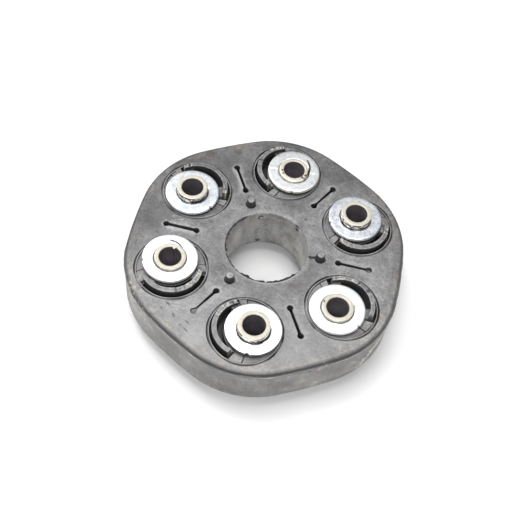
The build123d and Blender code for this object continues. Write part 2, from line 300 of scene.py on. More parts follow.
def finish_mesh(mesh, name, materials, sharp):
    """Object with the mesh, once its loose points are gone and its faces look outward."""
    cleaner = bmesh.new()
    cleaner.from_mesh(mesh)
    loose = [vertex for vertex in cleaner.verts if not vertex.link_faces]
    bmesh.ops.delete(cleaner, geom=loose, context="VERTS")
    bmesh.ops.recalc_face_normals(cleaner, faces=cleaner.faces)
    cleaner.to_mesh(mesh)
    cleaner.free()
    mesh.shade_smooth()
    mesh.set_sharp_from_angle(angle=math.radians(sharp))
    for material in materials:
        mesh.materials.append(material)
    return new_object(name, mesh)


class Mesher:
    """Collects points and faces of one closed skin, with two surface marks at each point: the rubber's dust
    together with painted shade and painted highlights, and the cream fleck.
    """

    def __init__(self):
        self.points = []
        self.marks = []
        self.quads = []
        self.triangles = []
        self.count = 0

    def add(self, points, bloom_and_painted_light, fleck=0.0):
        points = np.asarray(points, float).reshape(-1, 3)
        marks = np.zeros((len(points), 2))
        marks[:, 0] = bloom_and_painted_light
        marks[:, 1] = fleck
        self.points.append(points)
        self.marks.append(marks)
        self.count += len(points)
        return np.arange(self.count - len(points), self.count)

    def bands(self, loops):
        """Quads from loop to loop. Returns the first loop and the last."""
        self.quads += [quads(low, high) for low, high in zip(loops, loops[1:])]
        return loops[0], loops[-1]

    def join(self, low, low_turns, high, high_turns):
        """Triangles between two closed loops of different counts, both sorted by their turn from 0 to 1."""
        faces = []
        i = j = 0
        while i < len(low) or j < len(high):
            next_low = low_turns[i + 1] if i + 1 < len(low) else 1.0 + low_turns[0]
            next_high = high_turns[j + 1] if j + 1 < len(high) else 1.0 + high_turns[0]
            a, b = low[i % len(low)], high[j % len(high)]
            if j >= len(high) or (i < len(low) and next_low <= next_high):
                i += 1
                faces.append((a, low[i % len(low)], b))
            else:
                j += 1
                faces.append((a, high[j % len(high)], b))
        self.triangles.append(np.array(faces))

    def all_points(self):
        self.points = [np.concatenate(self.points)]
        return self.points[0]

    def build(self, name, materials, sharp=38.0):
        mesh = bpy.data.meshes.new(name)
        faces = [face for block in self.quads + self.triangles for face in block.tolist()]
        mesh.from_pydata((self.all_points() * MM).tolist(), [], faces)
        marks = np.concatenate(self.marks)
        # The first mark carries the dust and the painted shade and highlights alike
        for column, mark in enumerate(("bloom_and_painted_light", "fleck")):
            attribute = mesh.attributes.new(mark, "FLOAT", "POINT")
            attribute.data.foreach_set("value", np.ascontiguousarray(marks[:, column], dtype=np.float32))
        return finish_mesh(mesh, name, materials, sharp)


def outline_columns(side_steps, lobe_steps):
    """Points on the outline and the outward directions there, going round once."""
    points, normals = [], []
    for step in range(6):
        flat = PIP_ANGLES[0] + 60.0 * step
        for turn in np.linspace(-SIDE_TURN, SIDE_TURN, side_steps, endpoint=False):
            normals.append(direction(flat + turn))
            points.append(-SIDE_SHIFT * direction(flat) + SIDE_RADIUS * normals[-1])
        for turn in np.linspace(SIDE_TURN, 60.0 - SIDE_TURN, lobe_steps, endpoint=False):
            normals.append(direction(flat + turn))
            points.append(LOBE_CENTRE * direction(flat + 30.0) + LOBE_RADIUS * normals[-1])
    return np.array(points), np.array(normals)


def patch_share(points):
    """How much of the common bloom the soft areas leave at each point."""
    ragged = 1 + 0.4 * noise(points[:, 0] / 6, points[:, 1] / 6, 43)
    share = np.ones(len(points))
    for x, y, radius, change in FACE_PATCHES:
        away = np.linalg.norm(points - (x, y), axis=1) / radius
        share = share * (1 + change * np.exp(-away**2 * ragged))
    return share


def shoulder(radius, bend):
    """Inset and drop on a rounded shoulder, from 0 degrees at the face to 90 at the wall."""
    turn = math.radians(bend)
    return radius * (1 - math.sin(turn)) + PARTING_RIDGE, radius * (1 - math.cos(turn))


def add_outline(skin):
    """Side wall with both shoulders and the parting ridge, with painted shadow under the flash. Returns the
    loops where it meets the faces.
    """
    points, normals = outline_columns(28, 42)
    around = np.arange(len(points)) * 102.6 / len(points)
    present = unit(0.62 + 0.9 * noise(around * 0.7, 2, 5) + 0.35 * noise(around * 2.6, 6, 7))
    wander = 0.13 * noise(around * 0.6, 5, 6) + 0.07 * noise(around * 2, 8, 8)
    specks = unit(noise(around * 2.4, 7, 4) * 2.4 - 0.4)
    flash = np.minimum(0.3 + 0.9 * specks, 1.0) * unit(present * 2.2 - 0.7)
    # Inset, height, bloom, roughness and how far the ridge stands, from the upper face down
    rows = []
    for bend in (0, 10, 22, 34, 46, 58, 70, 81):
        inset, drop = shoulder(UPPER_SHOULDER, bend)
        rows.append((inset, HALF_THICKNESS - drop, max(0.78 - 0.0125 * bend, 0.05), 0.02, 0))
    # Round the parting ridge the flash is pale, and the dark rows below it are painted shadow under the flash
    for rise, bloom_and_painted_light, stands in ((0.46, 0.03, 0), (0.36, 0.3, 0.4), (0.26, 1.3, 1), (-0.5, 1.3, 1),
                                (-0.62, 0.5, 0.5), (-0.74, 0.04, 0), (-1.25, 0.08, 0), (-1.6, 0.5, 0)):
        rows.append((PARTING_RIDGE, PARTING_HEIGHT + rise, bloom_and_painted_light, 0, stands))
    for height in (9.8, 7.5, 5, 2.5, 0, -2.5, -5, -7.5, -9.5):
        rows.append((PARTING_RIDGE, height, 0.6, 0.08, 0))
    for bend in (90, 72, 54, 36, 18, 0):
        inset, drop = shoulder(LOWER_SHOULDER, bend)
        rows.append((inset, drop - HALF_THICKNESS, 0.56, 0.02, 0))
    loops = []
    for inset, height, bloom_and_painted_light, rough, stands in rows:
        dent = rough * (noise(around * 1.6, height * 0.5 + 50, 3) - 1)
        place = points + normals * (dent - inset + PARTING_RIDGE * stands * present)[:, None]
        near_ridge = abs(height - PARTING_HEIGHT) < 1.3
        if near_ridge:
            bloom_and_painted_light = 0.36 + (bloom_and_painted_light - 0.36) * present
        if rough > 0.05:
            bloom_and_painted_light = bloom_and_painted_light * (1 + 0.3 * noise(around * 0.5, height * 0.16 + 20, 9))
        if height > PARTING_HEIGHT + 1.0:
            bloom_and_painted_light = bloom_and_painted_light * patch_share(place)
        loops.append(skin.add(lifted(place, height + wander * near_ridge), bloom_and_painted_light, flash * (stands > 0.9)))
    return skin.bands(loops)


def add_hole(skin):
    """Wall of the centre hole, with a ragged fin of flash along its front rim. Painted shade darkens the rim
    under the fin, the ring round the upper nub and the low pit, and a painted highlight lightens the front
    rim's edge.
    """
    angles = np.arange(240) * 360.0 / 240 - 180.0
    front = within(angles, -124, -38, 8)
    left = within(angles, -181, -124, 6) + within(angles, 128, 181, 10)
    back_edge = within(angles, 50, 126, 12)
    fin = 0.55 + 0.35 * noise(angles * 0.45, 0, 11) + 0.3 * noise(angles * 0.16, 4, 12)
    fin = front * np.clip(fin, 0.1, 1)
    fin = np.clip(fin + sum(size * bell(angles - place, width) for place, width, size in HOLE_BLOBS), 0, 1.7)
    fin = fin + left * np.clip(0.22 + 0.3 * noise(angles * 0.35, 3, 14), 0.06, 0.5)
    nub, ring = bell(angles - 105.7, 1.8), bell(angles - 105.7, 3.1, 4)
    low_nub = bell(angles - 106.8, 2.1, 4)
    # Distance past the wall, drop below the face, bloom, and the shares of fin, nub and low nub
    rows = [(1.4, 0, 0.68, 0, 0, 0), (1.15, 0, 0.7, 0, 0, 0), (0.85, 0, 0.72, 0, 0, 0),
            (0.65, 0.02, 0.72, 0.12, 0, 0), (0.46, 0.08, 0.74, 0.35, 0, 0), (0.3, 0.2, 0.78, 0.75, 0, 0),
            (0.16, 0.45, 0.5, 1, 0, 0), (0.1, 1, 0.55, 0.5, 0, 0), (0.02, 1.9, 0.9, 0, 0, 0),
            (0, 2.5, 1, 0, 0.4, 0), (0, 3.1, 1.2, 0, 1, 0), (0, 3.4, 1.2, 0, 2, 0), (0, 4.6, 1.2, 0, 2, 0),
            (0, 4.9, 1, 0, 1, 0), (0, 5.5, 1.05, 0, 0.3, 0)]
    rows += [(0, drop, bloom_and_painted_light, 0, 0, 0) for drop, bloom_and_painted_light in (
        (6.25, 1.1), (8.75, 1.15), (11.25, 1.2), (13.75, 1.25), (16.25, 1.25), (19.25, 1.25), (22.75, 1.2),
        (25.85, 1.15))]
    rows += [(0, 26.35, 1, 0, 0, 1), (0, 27.85, 1, 0, 0, 1), (0.05, 28.35, 1.05, 0, 0, 0.2)]
    rows += [(past, drop, bloom_and_painted_light, 0, 0, 0) for past, drop, bloom_and_painted_light in (
        (0.1, 28.45, 0.12), (0.15, 28.95, 0.12), (0.2, 29.1, 1.4), (0.2, 29.75, 1.4), (0.3, 29.95, 0.5),
        (HOLE_EDGE, 2 * HALF_THICKNESS, 0.6))]
    loops = []
    for past, drop, bloom_and_painted_light, fin_share, nub_share, low_share in rows:
        pit = min(nub_share, 1.0)
        rise = max(nub_share - 1.0, 0.0)
        bumps = 0.3 * pit * (ring - nub * rise) - 0.7 * rise * nub + 0.3 * low_share * low_nub
        reach = HOLE_RADIUS + past - fin_share * fin + bumps
        if 0.5 < drop < 2 * HALF_THICKNESS - 0.5:
            reach = reach + 0.05 * noise(angles * 0.22, 9, 13)
        # Painted shade under the fin, in the ring round the nub and in the low pit
        shade = np.clip(1 - 9.0 * fin * fin_share, 0.02, 1)
        shade = shade * (1 - pit * unit(1.05 * ring - 1.2 * rise * nub))
        shade = shade * (1 - unit(1.1 * low_nub * low_share))
        # Painted highlight along the edge of the front rim
        if 0.6 < past < 1.3 and drop < 2.0:
            bloom_and_painted_light = bloom_and_painted_light + 0.4 * front
        if past > 0.05 and drop < 2.0:
            bloom_and_painted_light = bloom_and_painted_light + np.maximum(0.95 - bloom_and_painted_light, 0.0) * back_edge
        # A random mottle of the wall, folded into the same factor
        if 1.5 < drop < 28.25:
            shade = shade * (1 + 0.16 * noise(angles * 0.09, (HALF_THICKNESS - drop) * 0.12 + 30, 15))
        place = lifted(polar(reach, np.radians(angles)), HALF_THICKNESS - drop)
        loops.append(skin.add(place, bloom_and_painted_light * shade, rise * nub))
    return skin.bands(loops)


def dog_bone(grow):
    """Loop of a relief slot about its own middle, x along the slot."""
    eye, width = SLOT_EYE_RADIUS + grow, SLOT_HALF_WIDTH + grow
    start = math.degrees(math.asin(width / eye))
    run = SLOT_HALF_LENGTH - eye * math.cos(math.radians(start))
    loop = []
    for end in (1, -1):
        base = 0.0 if end > 0 else 180.0
        for turn in np.linspace(-180.0 + start, 180.0 - start, 20):
            loop.append(end * SLOT_HALF_LENGTH * direction(0) + eye * direction(base + turn))
        for share in np.linspace(0, 1, 14)[1:-1]:
            loop.append(np.array([end * run * (1 - 2 * share), end * width]))
    return np.array(loop)


def add_slot(skin, angle, side, flash=0.0, fills=(0, 0), pinch=(0, 0)):
    """Relief slot with a flash lip, filled at its eyes and pinched in its two halves. Returns its rim."""
    along, across = direction(angle), direction(angle + 90.0)
    middle = along * (SLOT_INNER_REACH + SLOT_OUTER_REACH) / 2
    # Painted shade darkens the slot's walls and floor, and a painted highlight lightens its flash lip
    # Growth of the shape, drop in millimetres, drop as a share of the depth, and bloom
    rows = [(0.5, 0, 0, 0.9), (0.25, 0.06, 0, 0.55), (0.06, 0.3, 0, 0.06), (0, 0.9, 0, 0.12),
            (0, 0, 0.5, 0.2), (-0.04, 0, 0.93, 0.25), (-0.3, 0, 1, 0.25)]
    loops = []
    for index, (grow, drop, share, bloom_and_painted_light) in enumerate(rows):
        shape = dog_bone(grow)
        x = shape[:, 0]
        outer_half = unit(x / 3 + 0.5)
        narrow = blend(outer_half, pinch[1], pinch[0]) * (np.abs(x) < SLOT_HALF_LENGTH - SLOT_EYE_RADIUS)
        shape[:, 1] *= 1 - narrow
        fill = fills[0] * (x < 2.6 - SLOT_HALF_LENGTH) + fills[1] * (x > SLOT_HALF_LENGTH - 2.6)
        height = -drop - share * SLOT_DEPTH * (1 - fill)
        lip = flash * (shape[:, 1] > 0.5) * (np.abs(x) < SLOT_HALF_LENGTH)
        if index in (1, 2):
            height = height + lip
        if index == 2:
            shape[:, 1] -= 0.9 * lip
        place = middle + shape[:, :1] * along + shape[:, 1:] * across
        loops.append(skin.add(lifted(place, side * (HALF_THICKNESS + height)), bloom_and_painted_light + lip * 2 * (index < 3)))
    rim, bottom = skin.bands(loops)
    fill_face(skin, [bottom], side, 0.25)
    return rim


def add_pip(skin, angle, seed):
    """Round pip with a soft worn top. Painted shade darkens its sides and the groove at its foot, and a
    painted highlight lightens its top.
    """
    centre = PIP_REACH * direction(angle)
    turn = np.linspace(0, 2 * np.pi, 30, endpoint=False)
    loops = []
    for radius, height, bloom_and_painted_light in ((3.3, 0, 0.75), (3.05, -0.12, 0.2), (2.78, -0.2, 0.02), (2.7, 0.3, 0.02),
                                  (2.62, 1.2, 0.03), (2.5, 2.4, 0.06), (2.4, 3.5, 0.08), (2.34, 4, 0.1),
                                  (2.2, 4.3, 0.15), (1.95, 4.44, 0.5), (1.7, 4.5, 1.15), (1.2, 4.56, 1),
                                  (0.6, PIP_HEIGHT - 0.02, 0.85)):
        wobble = radius * (1 + 0.04 * noise(turn * 1.4 + seed, height * 0.5, 20 + seed) * (height > 0.1))
        lump = 0.1 * noise(turn * 1.2, radius, 30 + seed) * (height > 4.0)
        top = HALF_THICKNESS + np.minimum(height + lump, PIP_HEIGHT)
        loops.append(skin.add(lifted(centre + polar(wobble, turn), top), bloom_and_painted_light))
    rim, last = skin.bands(loops)
    tip = skin.add([(*centre, HALF_THICKNESS + PIP_HEIGHT)], 0.9)[0]
    skin.triangles.append(np.column_stack([last, np.roll(last, -1), np.full(len(last), tip)]))
    return rim


def recess_angles(edges, bar_step, land_step, offsets):
    """Column angles round a bush, closer together over the bar and at each edge."""
    base = list(np.arange(-60.0, 60.0, bar_step)) + list(np.arange(60.0, 300.0, land_step))
    near = sorted((edge + offset + 60.0) % 360.0 - 60.0 for edge in edges for offset in offsets)
    kept = [angle for angle in base if min(abs(angle - other) for other in near) > 0.35]
    return np.array(sorted(kept + near))


def add_recess(skin, number, side, fine):
    """Hub, land, tabs, pocket, bar, ring and groove of a bush, with painted shade in its gaps and hollows and
    painted highlights on its edges. Returns the hub loop, its turns and the rim.
    """
    void_span = VOID_SPANS[number] if fine else PLAIN_VOID_SPAN
    edges = [*LAND_EDGES, *POCKET_SPAN, *BAR_SPAN, *void_span]
    angles = recess_angles(edges, *(FINE_COLUMNS if fine else PLAIN_COLUMNS))
    wrapped = np.where(angles > 180.0, angles - 360.0, angles)
    seed = 100 * number + (0 if fine else 50)
    rough = 1.0 if fine else 0.35

    def spans(*pairs, soft=0.24):
        return np.maximum.reduce([within(wrapped, start, end, soft) for start, end in pairs])

    def wave(rate, row, step):
        return noise(wrapped * rate, row, seed + step)

    tab, lip, cut = spans(*TAB_SPANS), spans(*LIP_SPANS), spans(*CUT_SPANS)
    notch, pocket, void, bar = spans(NOTCH_SPAN), spans(POCKET_SPAN), spans(void_span), spans(BAR_SPAN)
    flecked = spans(*FLECK_SPANS[number], soft=4.0) * fine
    cross = sum(depth * bell(wrapped - place, width) for place, width, depth in BAR_CUTS[number]) * rough

    level = -LAND_DEPTH + (LAND_DEPTH - TAB_DEPTH) * tab - 0.8 * cut + 0.14 * lip * rough
    web = -0.5 + rough * (1.3 + 0.5 * wave(0.3, 3, 1))
    outer_floor = blend(notch, -NOTCH_DEPTH, level)
    inner_floor = blend(void, -POCKET_DEPTH, blend(pocket, web, outer_floor))
    outer_floor = blend(pocket, -POCKET_DEPTH, outer_floor)
    ring_top = 0.06 - 0.14 * tab - 0.1 * cut + 0.05 * rough * wave(0.25, 1, 2)

    clipped = np.clip(wrapped, *NOTCH_SPAN)
    ragged = 0.09 * rough * wave(0.9, 5, 3)
    bar_in = circle_reach(clipped, BAR_INNER_SHIFT, BAR_INNER_RADIUS) + ragged
    bar_out = circle_reach(clipped, BAR_OUTER_SHIFT, BAR_OUTER_RADIUS) + 0.6 * ragged
    wall = circle_reach(wrapped, RECESS_SHIFT, RECESS_RADIUS)
    even = unit((np.abs(wrapped) - 61.0) / 9.0)

    def reach(from_bar, share):
        """The given radius beside the bar, and an even share of the land away from it."""
        return blend(even, LAND_START + share * (wall - 1.3 - LAND_START), from_bar)

    def on_bar(share, drop, lumps=0.0):
        """Radius and height on the bar's top, which falls a little towards its outer edge."""
        radius = bar_in + share * (bar_out - bar_in)
        lumpy = lumps * rough * (0.25 + 1.5 * flecked) * wave(0.55, radius * 1.6, 4)
        groove = 0.22 * flecked * (0.4 < share < 0.6) * unit(0.6 + wave(0.12, 8, 5))
        height = BAR_RISE - drop - 0.35 * share + lumpy - groove - 0.8 * cross
        return radius, blend(bar, np.minimum(height, BAR_RISE), outer_floor)

    rows = []

    def put(radius, height, bloom_and_painted_light, fleck=0.0, extra=False):
        """Adds a row of the recess. The plain side leaves the extra ones out."""
        if fine or not extra:
            values = (radius, height, bloom_and_painted_light, fleck)
            rows.append([np.broadcast_to(np.asarray(value, float), angles.shape) for value in values])

    seat = WASHER_LIFT
    # Painted shade darkens the hub under the washer, the land at the pocket's edge, the cuts and the deep
    # floors of the pocket and notch; a painted highlight lightens the lips, and the tabs are paler
    land_bloom_and_light = np.clip(0.56 + 0.22 * tab - 0.75 * cut + 0.55 * lip * rough, 0, 1.15)
    floor_bloom_and_shade = np.where(inner_floor < -1.5, 0.12, 0.6)
    deep_bloom_and_light = np.where(outer_floor < -1.0, 0.13, land_bloom_and_light)
    put(SLEEVE_RADIUS, seat, 0.2)
    put(11.5, seat, 0.2, extra=True)
    put(HUB_RADIUS - 0.4, seat, 0.2)
    put(HUB_RADIUS - 0.07, seat - 0.1, 0.2, extra=True)
    put(HUB_RADIUS, seat - 0.4, 0.15)
    put(HUB_RADIUS, (seat + level) / 2, 0.06, extra=True)
    put(HUB_RADIUS + 0.06, level + 0.12, 0.06, extra=True)
    put(HUB_RADIUS + 0.22, level, 0.08)
    put(reach(POCKET_INNER_RADIUS - 0.15, 0.10), level, land_bloom_and_light * 0.3)
    put(reach(POCKET_INNER_RADIUS - 0.02, 0.13), level - 0.08, land_bloom_and_light * 0.35, extra=True)
    put(reach(POCKET_INNER_RADIUS + 0.02, 0.16), (level + inner_floor) / 2, floor_bloom_and_shade)
    put(reach(POCKET_INNER_RADIUS + 0.08, 0.19), inner_floor + 0.25 * void, floor_bloom_and_shade)
    put(reach(POCKET_INNER_RADIUS + 0.5, 0.24), inner_floor, floor_bloom_and_shade, extra=True)
    put(reach(bar_in - 0.35, 0.30), inner_floor, floor_bloom_and_shade)
    put(reach(bar_in - 0.06, 0.33), inner_floor + 0.25 * void, floor_bloom_and_shade, extra=True)
    # Painted shade on the bar's inner flank
    radius, height = on_bar(0.0, 0.45)
    put(reach(radius - 0.02, 0.36), (height + inner_floor) / 2, blend(bar, 0.02, land_bloom_and_light))
    put(reach(radius, 0.39), height, blend(bar, 0.12, land_bloom_and_light))
    # dark is painted shade in the bar's cross cuts; the rows give painted highlights along both top edges of
    # the bar and painted shade down its outer flank
    dark = 1 - np.clip(1.1 * cross, 0, 0.9)
    for share, drop, lumps, bloom_and_painted_light in ((0.04, 0.12, 0.05, 1.0), (0.14, 0.0, 0.12, 0.85), (0.32, 0.0, 0.2, 0.6),
                                      (0.5, 0.0, 0.28, 0.56), (0.68, 0.02, 0.3, 0.6), (0.84, 0.03, 0.25, 0.8),
                                      (0.95, 0.12, 0.12, 1.05), (0.99, 0.35, 0.0, 0.2)):
        radius, height = on_bar(share, drop, lumps)
        speck = unit((wave(0.62, radius * 1.25, 6) + 0.5 * wave(1.4, radius * 3, 7) - 0.12) * 3.2)
        speck = speck * flecked * bar * dark * (0.7 + 0.3 * (share > 0.1))
        mottle = 1 + 0.3 * wave(0.2, radius, 8)
        bloom_and_painted_light = blend(bar, bloom_and_painted_light * mottle * dark, deep_bloom_and_light)
        put(reach(radius, 0.40 + 0.24 * share), height, bloom_and_painted_light, speck, share in (0.32, 0.68))
    radius, height = on_bar(1.0, 0.8)
    put(reach(radius, 0.66), height, blend(bar, 0.03, deep_bloom_and_light))
    put(reach(radius + 0.03, 0.69), (height + outer_floor) / 2, blend(bar, 0.02, deep_bloom_and_light))
    put(reach(radius + 0.06, 0.72), outer_floor + 0.25 * pocket, deep_bloom_and_light, extra=True)
    put(reach(radius + 0.4, 0.76), outer_floor, deep_bloom_and_light)
    # crease is painted shade in a crease at the foot of the ring
    crease = unit(0.55 + 0.9 * wave(0.05, 12, 9)) * rough * (1 - pocket)
    closed = 0.5 * within(wrapped, -178, -120, 20) * (number == 3)
    wide = unit(0.4 + wave(0.045, 15, 10) - closed) * rough
    put(reach(wall - 1.95, 0.88), outer_floor, deep_bloom_and_light)
    put(reach(wall - 1.62, 0.93), outer_floor - 0.12 * crease, deep_bloom_and_light * (1 - 0.8 * crease))
    put(reach(wall - 1.3, 1.0), outer_floor + 0.2 * pocket - 0.3 * crease, deep_bloom_and_light * (1 - 0.95 * crease))
    # Painted shade on the ring's inner wall and a painted highlight on its top
    put(wall - 1.2, (outer_floor + ring_top) / 2, 0.03)
    put(wall - 1.17, ring_top - 0.3, 0.1)
    put(wall - 1.12, ring_top - 0.12, 0.7, extra=True)
    put(wall - 1.0, ring_top, 1.15)
    put(wall - 0.72, ring_top, 1.0, extra=True)
    put(wall - 0.46 - 0.16 * wide, ring_top - 0.15, 0.5)
    # dim is painted shade in the groove outside the ring
    dim = 0.02 + 0.5 * (1 - wide) * rough
    put(wall - 0.34 - 0.2 * wide, -0.6, dim, extra=True)
    put(wall - 0.05, -0.75, dim)
    put(wall + 0.14 + 0.2 * wide, -0.4, dim)
    put(wall + 0.26 + 0.3 * wide, -0.04, 0.5, extra=True)
    put(wall + 0.45 + 0.3 * wide, 0.0, 0.95)
    put(wall + (0.95 if fine else 0.62), 0.0, 0.8)

    centre, toward, outward = bush_axes(number)
    loops = []
    for index, (radius, height, bloom_and_painted_light, fleck) in enumerate(rows):
        local = polar(radius, np.radians(angles))
        place = centre + local[:, :1] * toward + local[:, 1:] * outward
        if fine and index > len(rows) - 4:
            bloom_and_painted_light = bloom_and_painted_light * patch_share(place)
        loops.append(skin.add(lifted(place, side * (HALF_THICKNESS + height)), bloom_and_painted_light, fleck))
    hub, rim = skin.bands(loops)
    return hub, (angles + 60.0) / 360.0, rim


def inside(points, polygon):
    """Which points lie inside a closed polygon."""
    result = np.zeros(len(points), bool)
    for (x0, y0), (x1, y1) in zip(polygon, np.roll(polygon, -1, axis=0)):
        crosses = (y0 > points[:, 1]) != (y1 > points[:, 1])
        if y1 != y0:
            result ^= crosses & (points[:, 0] < (x1 - x0) * (points[:, 1] - y0) / (y1 - y0) + x0)
    return result


def fill_face(skin, loops, side, bloom_and_painted_light, spare=None, heights=None):
    """Triangles between an outer loop and the hole loops after it, through the spare points."""
    points = skin.all_points()
    border = np.concatenate(loops)
    flat = points[border, :2]
    edges = []
    start = 0
    for loop in loops:
        edges += [(start + k, start + (k + 1) % len(loop)) for k in range(len(loop))]
        start += len(loop)
    if spare is not None:
        border = np.concatenate([border, skin.add(lifted(spare, side * (HALF_THICKNESS + heights)), bloom_and_painted_light)])
        flat = np.concatenate([flat, spare])
    places = [Vector(place) for place in flat.tolist()]
    _, _, faces, origins, _, _ = delaunay_2d_cdt(places, edges, [], 0, 1e-5)
    source = np.array([border[origin[0]] for origin in origins])
    triangles = source[np.array(faces)]
    middles = skin.all_points()[triangles][:, :, :2].mean(axis=1)
    keep = inside(middles, points[loops[0], :2])
    for loop in loops[1:]:
        keep &= ~inside(middles, points[loop, :2])
    skin.triangles.append(triangles[keep])


def runs(line):
    """Start and run of each stretch of a line of points."""
    line = np.array(line)
    return zip(line[:-1], np.diff(line, axis=0))


def face_points():
    """Spare points of the upper face: an even spread, and closer rows across each mark."""
    rng = np.random.default_rng(5)
    step = 2.3
    spread = []
    for row, y in enumerate(np.arange(-80.0, 80.0, step * 0.87)):
        for x in np.arange(-80.0, 80.0, step):
            spread.append((x + (row % 2) * step / 2, y))
    spread = np.array(spread) + rng.uniform(-0.35, 0.35, (len(spread), 2))
    marks = []
    for line, width, _ in FACE_MARKS:
        for start, run in runs(line):
            length = np.linalg.norm(run)
            along = run / length
            across = np.array([-along[1], along[0]])
            for share in np.arange(-0.5 * width, length + 0.5 * width, 0.33):
                for offset in (-1.5, -0.8, -0.4, 0.0, 0.4, 0.8, 1.5):
                    marks.append(start + along * share + across * offset * width)
    points = np.concatenate([spread, np.array(marks) + rng.uniform(-0.02, 0.02, (len(marks), 2))])
    edge, normals = outline_columns(10, 30)
    keep = inside(points, edge - normals * 3.6)
    keep &= np.hypot(points[:, 0], points[:, 1]) > HOLE_RADIUS + 1.5
    for number in BUSHES:
        centre, toward, _ = bush_axes(number)
        keep &= np.linalg.norm(points - centre - RECESS_SHIFT * toward, axis=1) > RECESS_RADIUS + 1.2
    for angle in PIP_ANGLES:
        keep &= np.linalg.norm(points - PIP_REACH * direction(angle), axis=1) > 3.8
    for angle in PIP_ANGLES + NARROW_ANGLES:
        near = np.clip(points @ direction(angle), SLOT_INNER_REACH, SLOT_OUTER_REACH)
        keep &= np.linalg.norm(points - near[:, None] * direction(angle), axis=1) > SLOT_EYE_RADIUS + 1.0
    return points[keep]


def face_relief(points):
    """Height and bloom of the face: gentle waves of the moulding, soft dark patches and the small marks, with
    painted shade in the nicks and paler beads.
    """
    x, y = points.T
    bloom_and_painted_light = 0.75 * patch_share(points)
    height = 0.05 * noise(x / 13, y / 13, 41) + 0.02 * noise(x / 3.4, y / 3.4, 42) - 0.05
    for line, width, rise in FACE_MARKS:
        nearest = np.full(len(points), 1e9)
        for start, run in runs(line):
            share = unit((points - start) @ run / (run @ run))
            nearest = np.minimum(nearest, np.linalg.norm(points - start - share[:, None] * run, axis=1))
        near = bell(nearest, 0.55 * width)
        height = height + rise * near
        # Painted shade in the nicks; the beads are made paler
        bloom_and_painted_light = bloom_and_painted_light + near * (0.35 if rise > 0 else 2.3 * rise)
    return height, np.clip(bloom_and_painted_light, 0.02, 1.2)


def build_skin(material):
    """The rubber body as one closed skin: walls, recesses, slots and pips, then the faces between them."""
    skin = Mesher()
    top_edge, bottom_edge = add_outline(skin)
    top_hole, bottom_hole = add_hole(skin)
    upper, lower = [top_edge, top_hole], [bottom_edge, bottom_hole]
    for number in BUSHES:
        top_hub, top_turns, top_rim = add_recess(skin, number, 1, True)
        bottom_hub, bottom_turns, bottom_rim = add_recess(skin, number, -1, False)
        upper.append(top_rim)
        lower.append(bottom_rim)
        skin.join(top_hub, top_turns, bottom_hub, bottom_turns)
    for angle, fills, pinch in SLOTS:
        upper.append(add_slot(skin, angle, 1, 0.16, fills, pinch))
        lower.append(add_slot(skin, angle, -1))
    for seed, angle in enumerate(PIP_ANGLES):
        upper.append(add_pip(skin, angle, seed))
    spare = face_points()
    heights, bloom_and_painted_light = face_relief(spare)
    fill_face(skin, upper, 1, bloom_and_painted_light, spare, heights)
    fill_face(skin, lower, -1, 0.75)
    return skin.build("rubber_skin", [material])


def ring_piece(name, number, profile, warp, materials, side, sharp, extra=()):
    """Ring turned about a bush: profile points are (radius, height, material of the band that follows)."""
    even = np.linspace(0, 360, 120, endpoint=False)
    turns = np.unique(np.round(np.concatenate([even, np.array(extra) % 360]), 3))
    centre, _, _ = bush_axes(number)
    loops = np.arange(len(profile) * len(turns)).reshape(len(profile), -1)
    points, faces, kinds = [], [], []
    for index, (radius, height, kind) in enumerate(profile):
        reach, up = warp(turns, np.full(len(turns), radius), np.full(len(turns), height), index)
        points.append(lifted(centre + polar(reach, np.radians(turns)), side * up))
        faces += quads(loops[index], loops[(index + 1) % len(profile)]).tolist()
        kinds += [kind] * len(turns)
    mesh = bpy.data.meshes.new(name)
    mesh.from_pydata((np.concatenate(points) * MM).tolist(), [], faces)
    mesh.polygons.foreach_set("material_index", np.array(kinds, dtype=np.int32))
    return finish_mesh(mesh, name, materials, sharp)


